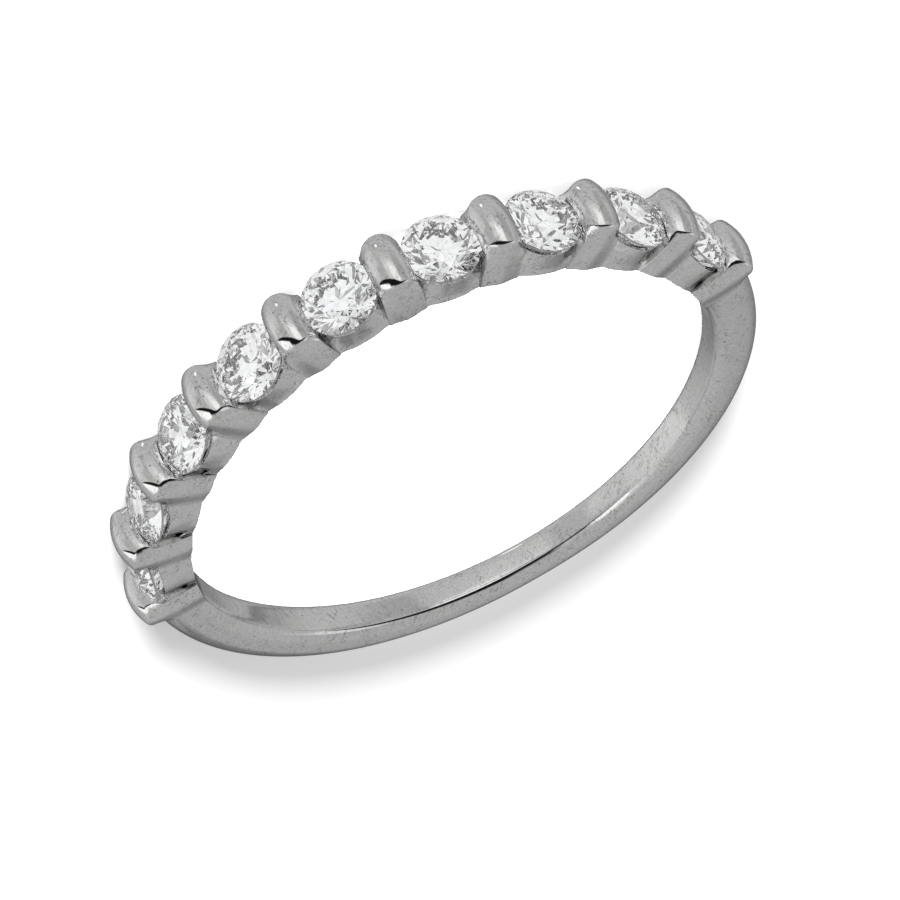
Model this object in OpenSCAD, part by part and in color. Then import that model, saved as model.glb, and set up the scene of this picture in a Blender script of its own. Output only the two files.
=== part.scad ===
// Half-eternity ring: nine round stones held between ten cross bars on a slim rounded shank.
// Millimetres. The finger hole's axis is Z, the middle stone faces -Y,
// and the origin is the centre of the finger hole at half the ring's width.

/* [Finger hole] */
// Inside diameter of the finger hole
hole_d = 17; // [16.5:0.1:18]

/* [Stones] */
// Diameter of each round stone
stone_d = 2.25; // [2.1:0.05:2.35]
// Height of the girdles above the finger hole's wall
girdle_rise = 1.24; // [1.2:0.01:1.32]
// Diameter of the table as a share of the stone's diameter
table_share = 0.57; // [0.53:0.01:0.62]
// Height of the crown as a share of the stone's diameter
crown_share = 0.15; // [0.12:0.01:0.16]
// Depth of the pavilion as a share of the stone's diameter
pavilion_share = 0.43; // [0.41:0.01:0.44]
// Thickness of the girdle as a share of the stone's diameter
girdle_share = 0.03; // [0.02:0.01:0.05]

/* [Head] */
// Angle from one stone to the next, seen along the finger
pitch = 18.4; // [18.2:0.1:19]
// Width of each cross bar, along the ring
bar_w = 1.15; // [1:0.05:1.2]
// Height of a bar's crest above the finger hole's wall
bar_rise = 2.05; // [2:0.05:2.15]
// Radius of the arch along a bar's top
bar_arch_r = 1.9; // [1.85:0.05:2.2]
// Half length of a bar across the ring, at its widest
bar_half = 1; // [0.95:0.01:1.05]
// Radius that rounds the ends of the bars
bar_bow_r = 3; // [2.6:0.1:3.4]
// Half width of a cup across the ring, at the finger hole
cup_foot_half = 0.91; // [0.88:0.01:0.95]
// Drop from a girdle to the rim of its cup
cup_drop = 0.27; // [0.2:0.01:0.35]
// Diameter of the light hole through the bottom of each cup
light_hole_d = 0.9; // [0.6:0.05:1]

/* [Shank] */
// Thickness of the shank opposite the stones
shank_t = 1.16; // [1:0.02:1.3]
// Thickness of the shank beside the end bars
shoulder_t = 1.6; // [1.4:0.02:1.7]
// Width of the shank
shank_w = 1.2; // [1.15:0.05:1.3]
// Width of the flat that rests against the finger
inner_flat_w = 0.76; // [0.7:0.02:0.9]

/* [Hidden] */
$fn = 96;

stones = 9;
hole_r = hole_d / 2;
stone_r = stone_d / 2;
girdle_at = hole_r + girdle_rise;
// Room left all round a stone in its seat
seat_gap = 0.03;
// How far solids reach past the faces that trim them
spare = 0.3;
// Each stone is turned this much about its own axis against the next, so their facets differ
stone_spin = 19;

// Stone 1 and the first bar lie on the +X side
first_bar = stones / 2 * pitch - 90;
function bar_turn(i) = first_bar - i * pitch;
function stone_turn(i) = first_bar - (i - 0.5) * pitch;

// Bars and cups are drawn on the +X side: X points outwards, Y along the ring, Z along the finger.
foot_at = hole_r - spare;

// A side wall that bows along the ring and leans between its foot and its top
module bowed_wall(foot_half, top_half, top_at, bow_r) {
    lean = (top_half - foot_half) / (top_at - hole_r);
    height = top_at - foot_at;
    translate([foot_at, 0, foot_half - lean * spare - bow_r])
        rotate([0, 90, 0])
            cylinder(r1 = bow_r, r2 = bow_r + lean * height, h = height);
}

bar_top_at = hole_r + bar_rise;
bar_arch_at = bar_top_at - bar_arch_r;
bar_widest_at = hole_r + 0.44 * bar_rise;

// Section of the round-edged disc whose rim is a bar's domed crest
module crest_section() {
    round_r = bar_w / 2;
    translate([0, -round_r]) square([bar_arch_r - round_r, bar_w]);
    intersection() {
        translate([bar_arch_r - round_r, 0]) circle(r = round_r);
        translate([0, -round_r]) square([bar_arch_r, bar_w]);
    }
}

module bar() {
    intersection() {
        union() {
            translate([bar_arch_at, 0, 0])
                rotate([90, 0, 0])
                    rotate_extrude()
                        crest_section();
            translate([foot_at, -bar_w / 2, -1.5])
                cube([bar_arch_at - foot_at, bar_w, 3]);
        }
        intersection_for (side = [-1, 1])
            translate([bar_widest_at, 0, side * (bar_half - bar_bow_r)])
                rotate([90, 0, 0])
                    sphere(r = bar_bow_r);
    }
}

cup_top_at = girdle_at - cup_drop;
cup_bow_r = 2.5;
cup_flare = 0.3;

// The cup under a stone: round like the stone at its rim, flatter at the finger hole
module cup() {
    half_length = (hole_r + cup_top_at) / 2 * sin(pitch / 2);
    intersection() {
        translate([foot_at, -half_length, -2])
            cube([cup_top_at - foot_at, 2 * half_length, 4]);
        translate([foot_at, 0, 0])
            rotate([0, 90, 0])
                cylinder(r = stone_r, h = cup_top_at);
        intersection_for (side = [0, 1])
            mirror([0, 0, side])
                bowed_wall(cup_foot_half, cup_foot_half + cup_flare, cup_top_at + spare, cup_bow_r);
    }
}

half_girdle = girdle_share * stone_d / 2;
crown_h = crown_share * stone_d;
pavilion_h = pavilion_share * stone_d;
table_r = table_share * stone_r;

// Room for one stone, open above its table and through the bottom of its cup
module seat() {
    hole = light_hole_d / 2;
    wide = stone_r + seat_gap;
    hole_top = -half_girdle - seat_gap - main_slope * (wide - hole);
    translate([girdle_at, 0, 0])
        rotate([0, 90, 0])
            rotate_extrude()
                polygon([
                    [0, -2], [hole, -2], [hole, hole_top],
                    [wide, -half_girdle - seat_gap], [wide, half_girdle + seat_gap],
                    [table_r + seat_gap, half_girdle + crown_h + seat_gap],
                    [table_r + seat_gap, 2], [0, 2]
                ]);
}

// The shank's outer curve is a circle set off towards the stones, so it thins away from them
module shank() {
    round_r = shank_w / 2;
    outer_r = hole_r + shoulder_t;
    set_off = shoulder_t - shank_t;
    ease = (shank_w - inner_flat_w) / 2;
    difference() {
        translate([0, -set_off, 0])
            rotate_extrude($fn = 180) {
                translate([outer_r - round_r, 0]) circle(r = round_r);
                translate([hole_r - set_off - spare, -round_r])
                    square([shoulder_t + spare + set_off - round_r, shank_w]);
            }
        rotate_extrude($fn = 180)
            for (side = [0, 1])
                mirror([0, side])
                    polygon([
                        [hole_r - 1, inner_flat_w / 2], [hole_r, inner_flat_w / 2],
                        [hole_r + 0.3 * ease, inner_flat_w / 2 + 0.6 * ease],
                        [hole_r + ease, shank_w / 2], [hole_r + ease, shank_w],
                        [hole_r - 1, shank_w]
                    ]);
        // The stones' half of the circle belongs to the head
        translate([-hole_d, -2 * hole_d + sin(first_bar) * hole_r, -hole_r])
            cube([2 * hole_d, 2 * hole_d, hole_d]);
    }
}

module band() {
    color("gainsboro")
        difference() {
            union() {
                shank();
                for (i = [0:stones]) rotate([0, 0, bar_turn(i)]) bar();
                for (i = [1:stones]) rotate([0, 0, stone_turn(i)]) cup();
            }
            cylinder(r = hole_r, h = hole_d, center = true, $fn = 180);
            for (i = [1:stones]) rotate([0, 0, stone_turn(i)]) seat();
        }
}

// A round brilliant: table, 8 star, 8 kite and 16 upper facets over 16 lower facets and 8 mains
facets = 8;
facet_turn = 360 / facets;
girdle_points = 4 * facets;
star_length = 0.5;
lower_half_length = 0.77;
kite_slope = crown_h / (stone_r - table_r);
main_slope = pavilion_h / stone_r;

star_from = table_r * cos(facet_turn / 2);
star_r = star_from + star_length * (stone_r - star_from);
star_h = half_girdle + crown_h - (star_r * cos(facet_turn / 2) - table_r) * kite_slope;
lower_r = (1 - lower_half_length) * stone_r;
lower_h = -half_girdle - pavilion_h + lower_r * cos(facet_turn / 2) * main_slope;

function polar(r, turn, h) = [r * cos(turn), r * sin(turn), h];

// Height of the plane through a, b and c above the point at (x, y)
function plane_h(a, b, c, x, y) =
    let (n = cross(b - a, c - a)) a.z - (n.x * (x - a.x) + n.y * (y - a.y)) / n.z;

// The girdle dips where a facet's plane meets its round wall between two corners
function girdle_h(tip_r, tip_h, side) =
    let (turn = facet_turn / 4)
        plane_h(polar(tip_r, facet_turn / 2, tip_h), polar(stone_r, 0, side * half_girdle),
                polar(stone_r, facet_turn / 2, side * half_girdle),
                stone_r * cos(turn), stone_r * sin(turn));
upper_dip = girdle_h(star_r, star_h, 1);
lower_dip = girdle_h(lower_r, lower_h, -1);

stone_points = concat(
    [for (k = [0:facets - 1]) polar(table_r, k * facet_turn, half_girdle + crown_h)],
    [for (k = [0:facets - 1]) polar(star_r, (k + 0.5) * facet_turn, star_h)],
    [for (k = [0:girdle_points - 1])
        polar(stone_r, k * facet_turn / 4, k % 2 == 0 ? half_girdle : upper_dip)],
    [for (k = [0:girdle_points - 1])
        polar(stone_r, k * facet_turn / 4, k % 2 == 0 ? -half_girdle : lower_dip)],
    [for (k = [0:facets - 1]) polar(lower_r, (k + 0.5) * facet_turn, lower_h)],
    [[0, 0, -half_girdle - pavilion_h]]
);

// Where each row of points starts in the list above
function table_at(k) = k % facets;
function star_at(k) = facets + k % facets;
function upper_at(k) = 2 * facets + k % girdle_points;
function lower_at(k) = 2 * facets + girdle_points + k % girdle_points;
function tip_at(k) = 2 * facets + 2 * girdle_points + k % facets;
culet_at = 3 * facets + 2 * girdle_points;

stone_faces = concat(
    [[for (k = [facets - 1:-1:0]) table_at(k)]],
    [for (k = [0:facets - 1]) [table_at(k), table_at(k + 1), star_at(k)]],
    [for (k = [0:facets - 1]) [table_at(k), star_at(k), upper_at(4 * k), star_at(k + facets - 1)]],
    [for (k = [0:facets - 1], half = [0, 2])
        [star_at(k), upper_at(4 * k + half + 2), upper_at(4 * k + half + 1), upper_at(4 * k + half)]],
    [for (k = [0:girdle_points - 1])
        [upper_at(k), upper_at(k + 1), lower_at(k + 1), lower_at(k)]],
    [for (k = [0:facets - 1], half = [0, 2])
        [tip_at(k), lower_at(4 * k + half), lower_at(4 * k + half + 1), lower_at(4 * k + half + 2)]],
    [for (k = [0:facets - 1]) [culet_at, tip_at(k + facets - 1), lower_at(4 * k), tip_at(k)]]
);

module stone(i) {
    color("azure")
        rotate([0, 0, stone_turn(i)])
            translate([girdle_at, 0, 0])
                rotate([0, 90, 0])
                    rotate([0, 0, (i - (stones + 1) / 2) * stone_spin])
                        polyhedron(stone_points, stone_faces);
}

band();
stone(1);  // stone_1
stone(2);  // stone_2
stone(3);  // stone_3
stone(4);  // stone_4
stone(5);  // stone_5
stone(6);  // stone_6
stone(7);  // stone_7
stone(8);  // stone_8
stone(9);  // stone_9
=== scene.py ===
import math

import bpy
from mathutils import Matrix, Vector


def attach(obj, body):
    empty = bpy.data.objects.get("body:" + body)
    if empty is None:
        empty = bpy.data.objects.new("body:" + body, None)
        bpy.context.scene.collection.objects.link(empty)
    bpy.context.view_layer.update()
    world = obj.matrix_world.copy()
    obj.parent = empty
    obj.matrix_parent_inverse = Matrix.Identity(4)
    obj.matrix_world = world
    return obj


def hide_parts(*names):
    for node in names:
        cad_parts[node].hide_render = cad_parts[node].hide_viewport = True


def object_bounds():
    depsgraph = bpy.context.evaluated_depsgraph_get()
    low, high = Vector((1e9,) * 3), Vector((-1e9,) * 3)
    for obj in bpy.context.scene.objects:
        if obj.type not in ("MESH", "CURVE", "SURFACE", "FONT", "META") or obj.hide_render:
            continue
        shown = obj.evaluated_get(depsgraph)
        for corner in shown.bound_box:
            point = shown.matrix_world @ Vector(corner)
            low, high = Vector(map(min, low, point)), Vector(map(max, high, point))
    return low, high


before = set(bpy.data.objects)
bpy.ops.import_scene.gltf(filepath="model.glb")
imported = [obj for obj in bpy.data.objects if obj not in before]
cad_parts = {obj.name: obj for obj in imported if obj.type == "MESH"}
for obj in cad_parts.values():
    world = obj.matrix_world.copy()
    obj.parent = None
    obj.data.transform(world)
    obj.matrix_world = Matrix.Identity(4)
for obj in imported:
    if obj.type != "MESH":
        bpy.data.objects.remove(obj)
cadBox = [list(corner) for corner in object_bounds()]
bpy.ops.object.select_all(action="DESELECT")
print("frame loaded, box", cadBox)

# The metal is modelled in millimetres, with the finger hole's axis on Z, and made metres at the
# end. Bars, cups and seats are drawn on the +X side, where X points outwards and Y along the ring,
# and are then turned to their places.
holeRadius = 8.5
stoneCount = 9
pitch = 18.4
firstBar = stoneCount / 2 * pitch - 90
halvings = 28  # steps in which a curve's place is closed in on


def barTurn(index):
    return math.radians(firstBar - index * pitch)


def stoneTurn(index):
    return math.radians(firstBar - (index - 0.5) * pitch)


def eased(part):
    # 0 to 1 with a soft start and end
    return part * part * (3 - 2 * part)


def spread(start, end, steps):
    return [start + (end - start) * step / steps for step in range(steps + 1)]


def between(table, at):
    # Value of a table of (place, value) rows on a smooth curve through its rows
    last = len(table) - 1
    row = 0
    while row < last - 1 and at > table[row + 1][0]:
        row += 1

    def slope(index):
        before, after = max(index - 1, 0), min(index + 1, last)
        return (table[after][1] - table[before][1]) / (table[after][0] - table[before][0])

    (start, first), (end, second) = table[row], table[row + 1]
    part = (at - start) / (end - start)
    if part < 0:
        return first + slope(row) * (at - start)
    if part > 1:
        return second + slope(row + 1) * (at - end)
    bend = (2 * part ** 3 - 3 * part ** 2 + 1) * first + (3 * part ** 2 - 2 * part ** 3) * second
    lean = (part ** 3 - 2 * part ** 2 + part) * slope(row)
    lean += (part ** 3 - part ** 2) * slope(row + 1)
    return bend + lean * (end - start)


def loftRings(name, rings):
    # A circle is extruded once for each ring, its points are set on the rings, and both ends filled
    bpy.ops.object.select_all(action="DESELECT")
    count = len(rings[0])
    bpy.ops.mesh.primitive_circle_add(vertices=count, radius=1)
    piece = bpy.context.object
    piece.name = name
    bpy.ops.object.mode_set(mode="EDIT")
    bpy.ops.mesh.select_mode(type="VERT")
    bpy.ops.mesh.select_all(action="SELECT")
    for step in range(len(rings) - 1):
        bpy.ops.mesh.extrude_region_move(TRANSFORM_OT_translate={"value": (0, 0, 1)})
    bpy.ops.object.mode_set(mode="OBJECT")
    piece.data.vertices.foreach_set("co", [c for ring in rings for point in ring for c in point])
    piece.data.update()
    for first in (0, count * (len(rings) - 1)):  # the two ends
        bpy.ops.object.mode_set(mode="EDIT")
        bpy.ops.mesh.select_all(action="DESELECT")
        bpy.ops.object.mode_set(mode="OBJECT")
        for vertex in piece.data.vertices[first:first + count]:
            vertex.select = True
        bpy.ops.object.mode_set(mode="EDIT")
        bpy.ops.mesh.edge_face_add()
        bpy.ops.object.mode_set(mode="OBJECT")
    bpy.ops.object.mode_set(mode="EDIT")
    bpy.ops.mesh.select_all(action="SELECT")
    bpy.ops.mesh.normals_make_consistent(inside=False)
    bpy.ops.object.mode_set(mode="OBJECT")
    return piece


def turnedCopy(piece, name, turn):
    bpy.ops.object.select_all(action="DESELECT")
    piece.select_set(True)
    bpy.context.view_layer.objects.active = piece
    bpy.ops.object.duplicate(linked=False)
    copy = bpy.context.object
    copy.name = name
    copy.rotation_euler.z = turn
    bpy.ops.object.transform_apply(location=False, rotation=True, scale=False)
    return copy


def combine(piece, other, operation):
    cut = piece.modifiers.new("cut", "BOOLEAN")
    cut.operation = operation
    cut.object = other
    cut.solver = "MANIFOLD"
    bpy.ops.object.select_all(action="DESELECT")
    piece.select_set(True)
    bpy.context.view_layer.objects.active = piece
    bpy.ops.object.modifier_apply(modifier=cut.name)
    bpy.data.objects.remove(other)


def combineCopies(piece, first, turns, operation):
    for index, turn in enumerate(turns):
        combine(piece, turnedCopy(first, f"{first.name}{index}", turn), operation)
    bpy.data.objects.remove(first)


# Cross bars: an arch with a half-round crest over two side walls that are nearly flat below and
# rounded like the ends of a pill above. "pillEnd" has rows of (distance from mid-width, setback).
# "ridgeSpan" is the part of the turn, outer and inner, that is drawn finely round the ridge.
bar = {
    "width": 1.15, "crest": 10.55, "archRadius": 1.9,
    "wallHalf": 0.965, "wallWidestAt": 9.6, "wallBow": 22, "footSetback": 0.08,
    "pillEnd": [
        (0, 0), (0.1, 0.008), (0.2, 0.03), (0.33, 0.08), (0.43, 0.16), (0.5, 0.26), (0.54, 0.36),
        (0.575, 0.5),
    ],
    "pillFrom": 9.6, "pillTo": 10.2, "ridgeRound": 0.1, "foot": 8.2, "middle": 9.3, "slices": 36,
    "ridgeSpan": (0.1, 0.085), "wallSteps": 14, "ridgeSteps": 10, "crestSteps": 12,
}


def barWall(u, r):
    # Distance of the side wall from mid-width of the ring
    rise = eased(min(max((r - bar["pillFrom"]) / (bar["pillTo"] - bar["pillFrom"]), 0), 1))
    low = bar["footSetback"] * eased(min(2 * abs(u) / bar["width"], 1))
    high = between(bar["pillEnd"], abs(u))
    bow = (r - bar["wallWidestAt"]) ** 2 / bar["wallBow"]
    return bar["wallHalf"] - bow - low * (1 - rise) - high * rise


def barReach(u, angle):
    # How far the section reaches from its middle in one direction: to the wall and to the crest
    sine, cosine = math.sin(angle), math.cos(angle)
    near, far = 0.1, 3
    for step in range(halvings):
        half = (near + far) / 2
        if half * cosine < barWall(u, bar["middle"] + half * sine):
            near = half
        else:
            far = half
    archAt = bar["crest"] - bar["archRadius"] - bar["middle"]
    halfWidth = bar["width"] / 2
    arch = bar["archRadius"] - halfWidth + math.sqrt(max(halfWidth ** 2 - u ** 2, 0))
    return near, archAt * sine + math.sqrt(arch ** 2 - (archAt * cosine) ** 2)


def barSection(u):
    low, high = 0.2, 1.5
    for step in range(halvings):
        ridge = (low + high) / 2
        wall, crest = barReach(u, ridge)
        if wall < crest:
            low = ridge
        else:
            high = ridge
    footAt = math.atan2(bar["foot"] - bar["middle"], barWall(u, bar["foot"]))
    outer, inner = bar["ridgeSpan"]
    angles = spread(footAt, ridge - outer, bar["wallSteps"])
    angles += spread(ridge - inner, ridge + inner, bar["ridgeSteps"])
    angles += spread(ridge + outer, math.pi / 2, bar["crestSteps"])
    half = []
    for angle in angles:
        wall, crest = barReach(u, angle)
        mix = max(bar["ridgeRound"] - abs(wall - crest), 0)
        reach = min(wall, crest) - mix ** 2 / (4 * bar["ridgeRound"])
        half.append((bar["middle"] + reach * math.sin(angle), reach * math.cos(angle)))
    half[-1] = (half[-1][0], 0)
    section = half + [(r, -z) for r, z in reversed(half[:-1])]
    return [(r, u, z) for r, z in section]


def makeBar():
    slices = spread(-90, 90, bar["slices"])
    rings = [barSection(bar["width"] / 2 * math.sin(math.radians(turn))) for turn in slices]
    return loftRings("bar", rings)


# Cups: nearly flat at the finger hole, turning round like the stone towards the rim
cup = {
    "rimRadius": 1.03, "top": 9.47, "foot": 8.2, "length": 1.02,
    "footHalf": [(0, 0.9), (0.3, 0.885), (0.6, 0.82), (0.75, 0.795), (1.02, 0.79)],
    "roundFrom": 8.7, "roundness": 1.1, "slices": 40, "wallSteps": 16,
}


def cupSection(u):
    flatWall = between(cup["footHalf"], abs(u))
    roundWall = math.sqrt(max(cup["rimRadius"] ** 2 - u ** 2, 0))
    half = []
    for r in spread(cup["foot"], cup["top"], cup["wallSteps"]):
        rise = max((r - cup["roundFrom"]) / (cup["top"] - cup["roundFrom"]), 0) ** cup["roundness"]
        half.append((r, flatWall + (roundWall - flatWall) * rise))
    section = half + [(r, -z) for r, z in reversed(half)]
    return [(r, u, z) for r, z in section]


def makeCup():
    slices = spread(-90, 90, cup["slices"])
    rings = [cupSection(cup["length"] * math.sin(math.radians(turn))) for turn in slices]
    return loftRings("cup", rings)


# Seats: room for a stone, open above its table and through the bottom of its cup.
# "profile" has rows of (radius, height over the girdle), from the light hole up.
seat = {
    "girdle": 9.74, "corners": 128,
    "profile": [
        (0.45, -2), (0.45, -0.67), (1.155, -0.064), (1.155, 0.064), (0.671, 0.401), (0.671, 2),
    ],
}


def makeSeat():
    turns = [2 * math.pi * step / seat["corners"] for step in range(seat["corners"])]
    rings = []
    for radius, rise in seat["profile"]:
        at = seat["girdle"] + rise
        rings.append([(at, radius * math.cos(turn), radius * math.sin(turn)) for turn in turns])
    return loftRings("seat", rings)


# Shank: rows of (angle from +X towards +Y, value); it is widest and thickest beside the end bars.
# From the flat inside, a soft edge leads over a narrow bevel to a side that rounds into the back.
shank = {
    "from": -7.5, "to": 187.5, "step": 1.5, "foot": 8.2,
    "outer": [
        (0, 10.06), (15, 10.03), (30, 9.98), (45, 9.92), (65, 9.8), (75, 9.74), (90, 9.67),
        (105, 9.72), (115, 9.76), (135, 9.86), (150, 9.94), (165, 10.02), (180, 10.06),
    ],
    "halfWidth": [
        (0, 0.7), (30, 0.68), (60, 0.63), (90, 0.6), (120, 0.62), (150, 0.67), (180, 0.7),
    ],
    "flat": [(0, 0.46), (30, 0.44), (60, 0.4), (90, 0.36), (120, 0.4), (150, 0.44), (180, 0.46)],
    "footInset": 0.27, "edgeRound": 0.18, "edgeRise": (0.004, 0.014),
    "bevel": 0.06, "lean": (0.19, 0.135), "sideFrom": 0.44,
    "sideSteps": 8, "backSteps": 20,
}


def shankSection(turn):
    outer, halfWidth, flat = (between(shank[key], turn) for key in ("outer", "halfWidth", "flat"))
    centre = outer - halfWidth
    edgeRound, (softRise, bevelRise) = shank["edgeRound"], shank["edgeRise"]
    bevelStart = (holeRadius + bevelRise, flat)
    bevelEnd = (bevelStart[0] + shank["bevel"], halfWidth - shank["lean"][1])
    control = (bevelEnd[0] + shank["lean"][0], halfWidth)
    side = (holeRadius + shank["sideFrom"], halfWidth)
    half = [
        (shank["foot"], flat - edgeRound - shank["footInset"]), (holeRadius, flat - edgeRound),
        (holeRadius + softRise, flat - edgeRound / 2), bevelStart, bevelEnd,
    ]
    for part in spread(0, 1, shank["sideSteps"])[1:]:
        half.append(tuple(
            (1 - part) ** 2 * a + 2 * part * (1 - part) * b + part ** 2 * c
            for a, b, c in zip(bevelEnd, control, side)
        ))
    for degrees in spread(90, 0, shank["backSteps"]):
        angle = math.radians(degrees)
        half.append((centre + halfWidth * math.cos(angle), halfWidth * math.sin(angle)))
    section = half + [(r, -z) for r, z in reversed(half[:-1])]
    cosine, sine = math.cos(math.radians(turn)), math.sin(math.radians(turn))
    return [(r * cosine, r * sine, z) for r, z in section]


def makeShank():
    steps = round((shank["to"] - shank["from"]) / shank["step"])
    turns = spread(shank["from"], shank["to"], steps)
    return loftRings("shank", [shankSection(turn) for turn in turns])


# The soldered metal is joined, then bored for the finger and cut for the stones
bore = {"corners": 720, "depth": 6}
creaseAngle = 28  # faces that meet at less than this are shaded as one surface


def makeBand():
    band = makeShank()
    barTurns = [barTurn(index) for index in range(stoneCount + 1)]
    stoneTurns = [stoneTurn(index) for index in range(1, stoneCount + 1)]
    combineCopies(band, makeBar(), barTurns, "UNION")
    combineCopies(band, makeCup(), stoneTurns, "UNION")
    bpy.ops.object.select_all(action="DESELECT")
    bpy.ops.mesh.primitive_cylinder_add(
        vertices=bore["corners"], radius=holeRadius, depth=bore["depth"], end_fill_type="NGON"
    )
    combine(band, bpy.context.object, "DIFFERENCE")
    combineCopies(band, makeSeat(), stoneTurns, "DIFFERENCE")
    band.name = band.data.name = "ringMetal"
    bpy.ops.object.select_all(action="DESELECT")
    band.select_set(True)
    bpy.context.view_layer.objects.active = band
    band.scale = (0.001, 0.001, 0.001)
    bpy.ops.object.transform_apply(location=True, rotation=True, scale=True)
    bpy.ops.object.shade_smooth_by_angle(angle=math.radians(creaseAngle))
    return band


def linkNodes(tree, *pairs):
    for start, end in pairs:
        tree.links.new(start, end)


def addNode(tree, kind, **settings):
    node = tree.nodes.new(kind)
    for key, value in settings.items():
        setattr(node, key, value)
    return node


def calculate(tree, operation, *values):
    made = addNode(tree, "ShaderNodeMath", operation=operation)
    for socket, value in zip(made.inputs, values):
        if isinstance(value, (int, float)):
            socket.default_value = value
        else:
            linkNodes(tree, (value, socket))
    return made.outputs["Value"]


def setRamp(node, stops, interpolation="LINEAR"):
    ramp = node.color_ramp
    ramp.interpolation = interpolation
    while len(ramp.elements) < len(stops):
        ramp.elements.new(1)
    for element, (place, grey) in zip(ramp.elements, sorted(stops)):
        element.position = place
        element.color = (grey, grey, grey, 1)


# White gold: polished, with a fine grain, patches of hair scratches in two directions and a few
# dark pits, and with painted shade darkening its creases. Scales are in marks per metre. "turn" and
# "stretch" lay the scratches along the surface, and each "...From" is the part of a pattern that
# the change is spread over.
gold = {
    "color": (0.84, 0.837, 0.833, 1), "rim": (0.42, 0.42, 0.42, 1), "noiseRoughness": 0.7,
    "roughness": (0.02, 0.045), "roughnessFrom": (0.35, 0.65),
    "grainScale": 14000, "grainDetail": 5, "grainDepth": (0.86, 1.16), "grainFrom": (0.3, 0.7),
    "patchScale": 1500, "patchDetail": 2, "patchFrom": (0.45, 0.6), "patchShare": (0.25, 1),
    "scratchDetail": 2, "scratchFrom": (0.55, 0.66),
    "scratches": [
        {"scale": 15000, "turn": (0.5, 0.35, 0.2), "stretch": (1, 1, 0.05), "shade": 0.6},
        {"scale": 13000, "turn": (-0.7, 0.2, 0.9), "stretch": (1, 0.04, 1), "shade": 0.66},
    ],
    "pitScale": 5200, "pitFrom": (0.1, 0.16), "pitShade": (0.3, 1), "pitRarity": (0.86, 0.88),
    "edge": 0.000025, "bumpHeight": 0.00000025,
    # painted shade in the creases: how far the occlusion looks in metres, the part of it the shade
    # is spread over, and how dark it gets
    "crease": 0.00015, "creaseFrom": (0.25, 0.75), "creaseShade": (0.65, 1),
}


def makeWhiteGold():
    material = bpy.data.materials.new("whiteGold")
    material.use_nodes = True
    tree = material.node_tree
    shader = tree.nodes["Principled BSDF"]
    shader.inputs["Metallic"].default_value = 1
    shader.inputs["Specular Tint"].default_value = gold["rim"]
    place = addNode(tree, "ShaderNodeTexCoord").outputs["Object"]

    def noise(vector, scale, detail):
        made = addNode(tree, "ShaderNodeTexNoise")
        made.inputs["Scale"].default_value = scale
        made.inputs["Detail"].default_value = detail
        made.inputs["Roughness"].default_value = gold["noiseRoughness"]
        linkNodes(tree, (vector, made.inputs["Vector"]))
        return made.outputs["Fac"]

    def remap(value, start, end, low, high):
        made = addNode(tree, "ShaderNodeMapRange")
        numbers = (("From Min", start), ("From Max", end), ("To Min", low), ("To Max", high))
        for name, number in numbers:
            made.inputs[name].default_value = number
        linkNodes(tree, (value, made.inputs["Value"]))
        return made.outputs["Result"]

    grain = noise(place, gold["grainScale"], gold["grainDetail"])
    roughness = remap(grain, *gold["roughnessFrom"], *gold["roughness"])
    shade = remap(grain, *gold["grainFrom"], *gold["grainDepth"])
    patch = noise(place, gold["patchScale"], gold["patchDetail"])
    patch = remap(patch, *gold["patchFrom"], *gold["patchShare"])
    for scratch in gold["scratches"]:
        lay = addNode(tree, "ShaderNodeMapping")
        lay.inputs["Rotation"].default_value = scratch["turn"]
        squeeze = addNode(tree, "ShaderNodeMapping")
        squeeze.inputs["Scale"].default_value = scratch["stretch"]
        linkNodes(
            tree,
            (place, lay.inputs["Vector"]),
            (lay.outputs["Vector"], squeeze.inputs["Vector"]),
        )
        hair = noise(squeeze.outputs["Vector"], scratch["scale"], gold["scratchDetail"])
        hair = remap(hair, *gold["scratchFrom"], 0, 1)
        hair = remap(calculate(tree, "MULTIPLY", hair, patch), 0, 1, 1, scratch["shade"])
        shade = calculate(tree, "MULTIPLY", shade, hair)
    pits = addNode(tree, "ShaderNodeTexVoronoi")
    pits.inputs["Scale"].default_value = gold["pitScale"]
    pickSome = addNode(tree, "ShaderNodeSeparateColor")
    linkNodes(
        tree,
        (place, pits.inputs["Vector"]),
        (pits.outputs["Color"], pickSome.inputs["Color"]),
    )
    pit = remap(pits.outputs["Distance"], *gold["pitFrom"], *gold["pitShade"])
    noPit = remap(pickSome.outputs["Red"], *gold["pitRarity"], 1, 0)
    spotted = calculate(tree, "MULTIPLY", shade, calculate(tree, "MAXIMUM", pit, noPit))
    # Painted shade: ambient occlusion darkens the colour in creases and nooks of the metal, where
    # shade falls
    corner = addNode(tree, "ShaderNodeAmbientOcclusion", samples=8, only_local=True)
    corner.inputs["Distance"].default_value = gold["crease"]
    crease = remap(corner.outputs["AO"], *gold["creaseFrom"], *gold["creaseShade"])
    paint = addNode(tree, "ShaderNodeMix", data_type="RGBA", blend_type="MULTIPLY")
    paint.inputs["Factor"].default_value = 1
    paint.inputs["A"].default_value = gold["color"]
    bump = addNode(tree, "ShaderNodeBump")
    bump.inputs["Strength"].default_value = 1
    bump.inputs["Distance"].default_value = gold["bumpHeight"]
    edge = addNode(tree, "ShaderNodeBevel", samples=6)
    edge.inputs["Radius"].default_value = gold["edge"]
    linkNodes(
        tree,
        # the colour is multiplied by the painted shade in the creases
        (calculate(tree, "MULTIPLY", spotted, crease), paint.inputs["B"]),
        (paint.outputs["Result"], shader.inputs["Base Color"]),
        (roughness, shader.inputs["Roughness"]),
        (spotted, bump.inputs["Height"]),
        (edge.outputs["Normal"], bump.inputs["Normal"]),
        (bump.outputs["Normal"], shader.inputs["Normal"]),
    )
    return material


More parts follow.
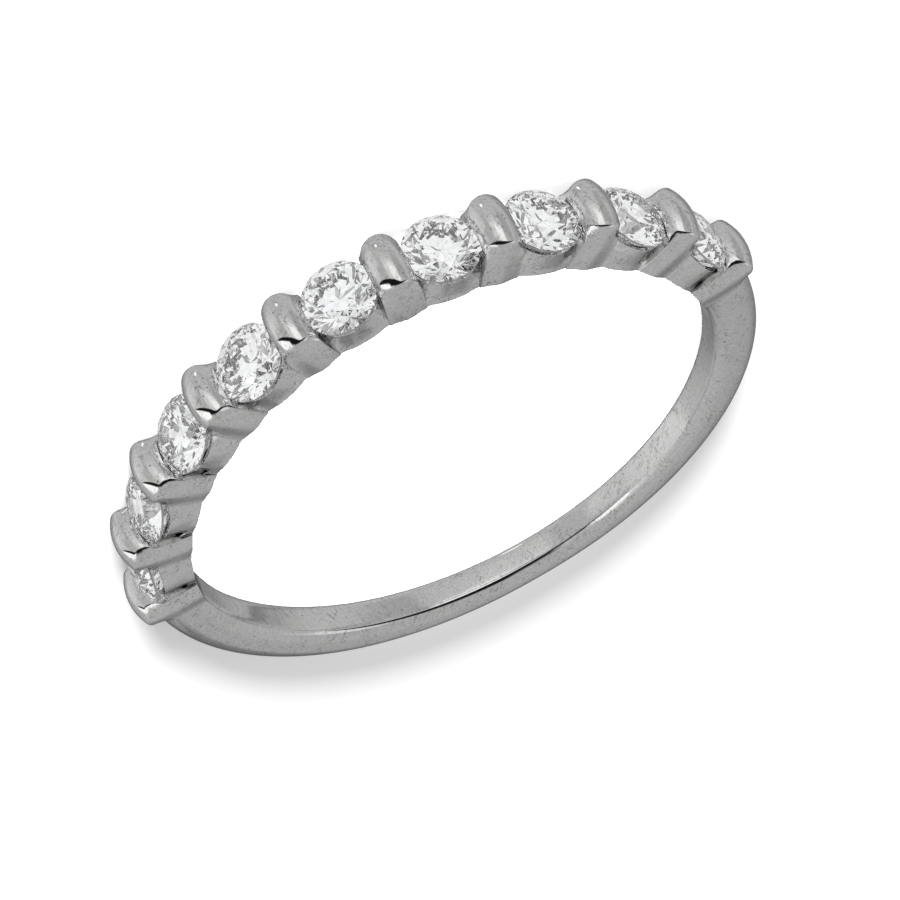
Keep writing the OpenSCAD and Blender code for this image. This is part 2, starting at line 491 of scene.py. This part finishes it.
# Stones: clear, with a ground grey girdle, found by its height on the axis of the nearest stone
stoneLook = {
    "color": (0.985, 0.99, 1, 1), "ior": 2.42,
    "girdleHalf": 0.000034, "girdleColor": (0.6, 0.6, 0.61, 1), "girdleRoughness": 0.4,
}


def makeDiamond():
    material = bpy.data.materials.new("clearDiamond")
    material.use_nodes = True
    tree = material.node_tree
    shader = tree.nodes["Principled BSDF"]
    shader.inputs["IOR"].default_value = stoneLook["ior"]
    shader.inputs["Transmission Weight"].default_value = 1
    place = addNode(tree, "ShaderNodeTexCoord")
    split = addNode(tree, "ShaderNodeSeparateXYZ")
    linkNodes(tree, (place.outputs["Object"], split.inputs["Vector"]))
    x, y = split.outputs["X"], split.outputs["Y"]
    turn = calculate(tree, "ADD", calculate(tree, "ARCTAN2", y, x), math.pi / 2)
    steps = calculate(tree, "ROUND", calculate(tree, "DIVIDE", turn, math.radians(pitch)))
    axis = calculate(tree, "MULTIPLY", steps, math.radians(pitch))
    axis = calculate(tree, "SUBTRACT", axis, math.pi / 2)
    alongX = calculate(tree, "MULTIPLY", x, calculate(tree, "COSINE", axis))
    alongY = calculate(tree, "MULTIPLY", y, calculate(tree, "SINE", axis))
    height = calculate(tree, "ADD", alongX, alongY)
    height = calculate(tree, "SUBTRACT", height, seat["girdle"] / 1000)
    height = calculate(tree, "ABSOLUTE", height)
    girdle = calculate(tree, "LESS_THAN", height, stoneLook["girdleHalf"])
    roughness = calculate(tree, "MULTIPLY", girdle, stoneLook["girdleRoughness"])
    paint = addNode(tree, "ShaderNodeMix", data_type="RGBA")
    paint.inputs["A"].default_value = stoneLook["color"]
    paint.inputs["B"].default_value = stoneLook["girdleColor"]
    linkNodes(
        tree,
        (girdle, paint.inputs["Factor"]),
        (paint.outputs["Result"], shader.inputs["Base Color"]),
        (girdle, shader.inputs["Metallic"]),
        (roughness, shader.inputs["Roughness"]),
    )
    return material


band = makeBand()
print("metal built:", len(band.data.polygons), "faces")

whiteGold = makeWhiteGold()
band.data.materials.clear()
band.data.materials.append(whiteGold)
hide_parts("band")
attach(band, "root")

diamond = makeDiamond()
for index in range(1, stoneCount + 1):
    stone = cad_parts[f"stone_{index}"]
    for slot in stone.material_slots:
        slot.material = diamond
print("materials set")

# A plain floor, white like the backdrop that it runs into. Neither metal nor stones mirror it.
floorLook = {"radius": 0.027, "corners": 96, "color": (0.9, 0.9, 0.9, 1), "roughness": 0.9}


def makeFloor():
    bpy.ops.object.select_all(action="DESELECT")
    bpy.ops.mesh.primitive_circle_add(
        vertices=floorLook["corners"], radius=floorLook["radius"], fill_type="NGON",
        location=(0, 0, cadBox[0][2]),
    )
    floor = bpy.context.object
    floor.name = "floor"
    bpy.ops.object.transform_apply(location=True, rotation=True, scale=True)
    material = bpy.data.materials.new("paleFloor")
    material.use_nodes = True
    shader = material.node_tree.nodes["Principled BSDF"]
    shader.inputs["Base Color"].default_value = floorLook["color"]
    shader.inputs["Roughness"].default_value = floorLook["roughness"]
    shader.inputs["Specular IOR Level"].default_value = 0
    floor.data.materials.append(material)
    floor.visible_glossy = False
    floor.visible_transmission = False


# The studio, as rows of (angle, grey) round a lengthwise axis that is tipped out of X by "tilt":
# 0 faces the front (-Y), 90 overhead, 180 the back. "plain" holds everywhere, and each panel
# replaces it over a part of X, where "across" has rows of (X of the direction, share of the panel).
# The metal mirrors these. The stones see "stones", and "floor" and "white" are the light on the
# floor and the backdrop. "sparkle" is one small bright spot.
studio = {
    "tilt": 15.6,
    "plain": [
        (-90, 0.54), (-75, 0.5), (-55, 0.4), (-20, 0.4), (-5, 0.48), (10.4, 0.48), (11, 0.01),
        (46, 0.01), (56, 0.5), (72, 0.78), (108, 0.78), (130, 0.6), (145, 0.48), (192, 0.48),
        (240, 0.46), (270, 0.54),
    ],
    "panels": [
        {
            "name": "post",
            "across": [
                (-0.9, 0.05), (-0.76, 0.25), (-0.7, 0.6), (-0.65, 1), (-0.62, 0.8), (-0.57, 0.1),
            ],
            "rows": [
                (-90, 0.54), (-75, 0.5), (-55, 0.4), (-20, 0.4), (-5, 0.48), (10.4, 0.48),
                (11, 0.01), (46, 0.01), (56, 0.5), (72, 0.78), (108, 0.78), (130, 0.6), (145, 0.48),
                (205, 0.46), (212, 0.15), (240, 0.18), (255, 0.5), (270, 0.54),
            ],
        },
        {
            "name": "wall",
            "across": [(-0.63, 0), (-0.56, 1), (0.3, 1), (0.48, 0)],
            "rows": [
                (-90, 0.54), (-55, 0.52), (-30, 0.56), (-14, 0.58), (8, 0.52), (10.4, 0.5),
                (11, 0.01), (46, 0.01), (58, 0.46), (90, 0.45), (110, 0.44), (136, 0.47),
                (155, 0.47), (192, 0.5), (208, 0.6), (226, 0.58), (240, 0.46), (270, 0.54),
            ],
        },
        {
            "name": "window",
            "across": [
                (-0.7, 0), (-0.62, 0.8), (-0.54, 1), (-0.26, 1), (-0.08, 0.45), (0.12, 0.2),
                (0.3, 0),
            ],
            "rows": [
                (-90, 0.54), (-55, 0.5), (-34, 0.56), (-26, 0.7), (-14, 0.98), (2, 1.02), (8, 0.92),
                (10.4, 0.85), (11, 0.01), (46, 0.01), (58, 0.46), (90, 0.45), (110, 0.44),
                (136, 0.47), (155, 0.47), (192, 0.5), (208, 0.6), (226, 0.58), (240, 0.46),
                (270, 0.54),
            ],
        },
        {
            "name": "outline",
            "across": [(-0.15, 0), (-0.02, 1), (0.11, 1), (0.2, 0)],
            "rows": [
                (-90, 0.54), (-55, 0.5), (-30, 0.56), (-20, 0.68), (0, 0.7), (8, 0.62),
                (10.4, 0.55), (11, 0.01), (34, 0.01), (46, 0.3), (58, 0.46), (90, 0.45),
                (110, 0.44), (136, 0.47), (152, 0.46), (165, 0.38), (198, 0.34), (204, 0.14),
                (224, 0.16), (236, 0.46), (270, 0.54),
            ],
        },
        {
            "name": "doorway",
            "across": [(0.12, 0), (0.26, 1), (0.42, 1), (0.5, 0)],
            "rows": [
                (-90, 0.56), (-60, 0.53), (-40, 0.5), (-20, 0.46), (-5, 0.5), (8, 0.5),
                (10.4, 0.48), (11, 0.01), (23, 0.01), (27, 0.3), (34, 0.55), (60, 0.5), (90, 0.46),
                (136, 0.47), (150, 0.45), (158, 0.3), (190, 0.3), (200, 0.34), (205, 0.56),
                (228, 0.5), (240, 0.46), (270, 0.56),
            ],
        },
        {
            "name": "side",
            "across": [(0.42, 0), (0.5, 1), (0.8, 1), (1, 0.6)],
            "rows": [
                (-90, 0.62), (-60, 0.62), (-24, 0.62), (-14, 0.48), (-4, 0.44), (10, 0.5),
                (10.4, 0.01), (19, 0.01), (21, 1.1), (50, 1.1), (64, 0.7), (90, 0.5), (150, 0.46),
                (180, 0.46), (230, 0.5), (270, 0.62),
            ],
        },
        {
            "name": "farSide",
            "across": [(0.66, 0), (0.84, 1), (1, 1)],
            "rows": [
                (-90, 0.74), (-24, 0.68), (-8, 0.62), (10, 0.6), (10.4, 0.01), (19, 0.01),
                (21, 1.15), (46, 1.1), (64, 0.65), (90, 0.5), (180, 0.48), (230, 0.55), (270, 0.74),
            ],
        },
    ],
    "stones": [
        (-90, 1.0), (-10, 1.05), (20, 1.05), (26, 0.25), (36, 0.16), (44, 1.05), (84, 1.0),
        (94, 0.28), (108, 0.28), (116, 1.05), (150, 1.0), (180, 0.9),
    ],
    "sparkle": {"towards": (-0.02, -0.5, -0.87), "inner": 0.9988, "outer": 0.997, "strength": 1.0},
    "floor": 0.74, "white": 1.1,
}


def ringAngle(degrees):
    return degrees / 360 + 0.25


def makeStudio():
    world = bpy.data.worlds.new("studio")
    bpy.context.scene.world = world
    world.use_nodes = True
    tree = world.node_tree
    tree.nodes.clear()
    place = addNode(tree, "ShaderNodeTexCoord")
    turn = addNode(tree, "ShaderNodeMapping")
    turn.inputs["Rotation"].default_value = (0, math.radians(90 - studio["tilt"]), 0)
    around = addNode(tree, "ShaderNodeTexGradient", gradient_type="RADIAL")
    split = addNode(tree, "ShaderNodeSeparateXYZ")
    acrossAt = addNode(tree, "ShaderNodeMath", operation="MULTIPLY_ADD")
    acrossAt.inputs[1].default_value = 0.5
    acrossAt.inputs[2].default_value = 0.5
    linkNodes(
        tree,
        (place.outputs["Generated"], turn.inputs["Vector"]),
        (turn.outputs["Vector"], around.inputs["Vector"]),
        (place.outputs["Generated"], split.inputs["Vector"]),
        (split.outputs["X"], acrossAt.inputs[0]),
    )

    def aroundRamp(rows):
        ramp = addNode(tree, "ShaderNodeValToRGB")
        setRamp(ramp, [(ringAngle(angle), grey) for angle, grey in rows])
        linkNodes(tree, (around.outputs["Fac"], ramp.inputs["Fac"]))
        return ramp.outputs["Color"]

    seen = aroundRamp(studio["plain"])
    for panel in studio["panels"]:
        share = addNode(tree, "ShaderNodeValToRGB")
        setRamp(share, [((x + 1) / 2, part) for x, part in panel["across"]], "EASE")
        mixed = addNode(tree, "ShaderNodeMix", data_type="RGBA", label=panel["name"])
        linkNodes(
            tree,
            (acrossAt.outputs["Value"], share.inputs["Fac"]),
            (share.outputs["Color"], mixed.inputs["Factor"]),
            (seen, mixed.inputs["A"]),
            (aroundRamp(panel["rows"]), mixed.inputs["B"]),
        )
        seen = mixed.outputs["Result"]
    sparkle = studio["sparkle"]
    aim = addNode(tree, "ShaderNodeVectorMath", operation="DOT_PRODUCT")
    aim.inputs[1].default_value = Vector(sparkle["towards"]).normalized()
    spot = addNode(tree, "ShaderNodeMapRange")
    spot.inputs["From Min"].default_value = sparkle["outer"]
    spot.inputs["From Max"].default_value = sparkle["inner"]
    spot.inputs["To Min"].default_value = 0
    spot.inputs["To Max"].default_value = sparkle["strength"]
    brighter = addNode(tree, "ShaderNodeMix", data_type="RGBA", blend_type="ADD")
    brighter.inputs["Factor"].default_value = 1
    linkNodes(
        tree,
        (place.outputs["Generated"], aim.inputs[0]),
        (aim.outputs["Value"], spot.inputs["Value"]),
        (seen, brighter.inputs["A"]),
        (spot.outputs["Result"], brighter.inputs["B"]),
    )

    def background(strength, color=None):
        made = addNode(tree, "ShaderNodeBackground")
        made.inputs["Strength"].default_value = strength
        if color is None:
            made.inputs["Color"].default_value = (1, 1, 1, 1)
        else:
            linkNodes(tree, (color, made.inputs["Color"]))
        return made.outputs["Background"]

    # The metal's part is replaced for each other kind of ray in turn
    shown = background(1, brighter.outputs["Result"])
    ray = addNode(tree, "ShaderNodeLightPath")
    for rayKind, other in (
        ("Is Transmission Ray", background(1, aroundRamp(studio["stones"]))),
        ("Is Diffuse Ray", background(studio["floor"])),
        ("Is Camera Ray", background(studio["white"])),
    ):
        pick = addNode(tree, "ShaderNodeMixShader")
        linkNodes(
            tree,
            (ray.outputs[rayKind], pick.inputs["Fac"]),
            (shown, pick.inputs[1]),
            (other, pick.inputs[2]),
        )
        shown = pick.outputs["Shader"]
    out = addNode(tree, "ShaderNodeOutputWorld")
    linkNodes(tree, (shown, out.inputs["Surface"]))


# A soft lamp low in front throws the shank's shadow away behind it. Two small ones, in the finger
# hole and before the stones, keep the floor bright there. Only the floor sees them.
lamps = [
    {"name": "softLamp", "kind": "AREA", "place": (-0.12, -0.567, 0.14), "size": 0.18, "power": 13},
    {"name": "holeLamp", "kind": "POINT", "place": (0, 0, 0.002), "size": 0.0005, "power": 0.009},
    {
        "name": "frontLamp", "kind": "POINT", "place": (0.004, -0.02, 0.006), "size": 0.0005,
        "power": 0.003,
    },
]


def makeLamp(lamp):
    bpy.ops.object.light_add(type=lamp["kind"], location=lamp["place"])
    light = bpy.context.object
    light.name = lamp["name"]
    light.data.energy = lamp["power"]
    if lamp["kind"] == "AREA":
        light.data.shape = "DISK"
        light.data.size = lamp["size"]
        light.rotation_euler = Vector(lamp["place"]).to_track_quat("Z", "Y").to_euler()
    else:
        light.data.shadow_soft_size = lamp["size"]
    light.visible_glossy = False
    light.visible_transmission = False
    light.visible_camera = False


# The view of the photograph: a long lens on the stones' side, turned over to lay the row across
# the top. "right" and "up" are the directions of the picture.
view = {
    "place": (-0.0085947, -0.1017805, 0.0589518), "lens": 160, "sensor": 36, "clip": (0.005, 10),
    "right": (-0.859365, 0.308412, 0.40789), "up": (-0.506011, -0.397778, -0.765327),
}


def makeCamera():
    bpy.ops.object.camera_add(location=view["place"])
    camera = bpy.context.object
    camera.name = "photoView"
    right, up = Vector(view["right"]), Vector(view["up"])
    back = right.cross(up)
    turn = camera.matrix_world.to_3x3()
    turn.col[0], turn.col[1], turn.col[2] = right, up, back
    camera.rotation_euler = turn.to_euler()
    camera.data.lens = view["lens"]
    camera.data.sensor_width = view["sensor"]
    camera.data.clip_start, camera.data.clip_end = view["clip"]
    bpy.context.scene.camera = camera


makeFloor()
makeStudio()
for lamp in lamps:
    makeLamp(lamp)
makeCamera()

# Light is followed through many reflections, so that the stones' facets don't go dark
scene = bpy.context.scene
scene.view_settings.view_transform = "Standard"
scene.view_settings.look = "None"
scene.cycles.max_bounces = 60
scene.cycles.transmission_bounces = 40
scene.cycles.glossy_bounces = 40
scene.cycles.diffuse_bounces = 3
scene.cycles.use_denoising = True
scene.cycles.caustics_reflective = False
scene.cycles.caustics_refractive = False
print("studio and camera set")

bpy.ops.object.select_all(action="DESELECT")
